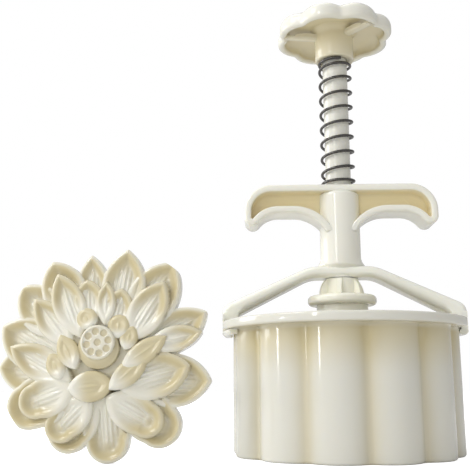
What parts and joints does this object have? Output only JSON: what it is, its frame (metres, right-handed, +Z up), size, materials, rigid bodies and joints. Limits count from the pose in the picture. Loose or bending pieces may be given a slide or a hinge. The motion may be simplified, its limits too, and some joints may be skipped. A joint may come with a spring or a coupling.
{
  "type": "mooncake press",
  "caption": "Ivory plastic hand press for mooncakes: fluted barrel, T-shaped finger grip, sprung plunger with a scalloped knob, and a lotus stamp stood beside it",
  "frame": {"origin": "press axis at the barrel's lower edge, which is the table", "axes": "+Z up the press axis to the knob, the wings of the grip along X, -Y towards the viewer"},
  "size_m": [0.1405, 0.078, 0.149],
  "materials": {
    "ivory_body": "gloss",
    "ivory_grip": "gloss",
    "ivory_stamp": "gloss",
    "spring_steel": "satin",
    "zinc_plate": "satin"
  },
  "bodies": {
    "barrel": {"barrel": "ivory_body"},
    "handle": {"handle_frame": "ivory_grip", "return_spring": "spring_steel"},
    "plunger": {"plunger_rod": "ivory_grip", "knob": "ivory_grip", "plunger_foot": "ivory_grip", "foot_washer": "zinc_plate", "foot_screw": "zinc_plate"},
    "stamp": {"lotus_stamp": "ivory_stamp"}
  },
  "joints": [
    {"name": "lock_twist", "type": "hinge", "parent": "barrel", "child": "handle", "pos_m": [0, 0, 0.0414], "axis": [0, 0, -1], "range_deg": [0, 13]},
    {"name": "press_stroke", "type": "slide", "parent": "handle", "child": "plunger", "axis": [0, 0, -1], "range_m": [0, 0.032], "stiffness_N_per_m": 350, "springref_m": -0.008, "deforming": ["return_spring"]},
    {"name": "stamp_lift", "type": "slide", "parent": "barrel", "child": "stamp", "axis": [0, 0, 1], "range_m": [0, 0.06]}
  ]
}
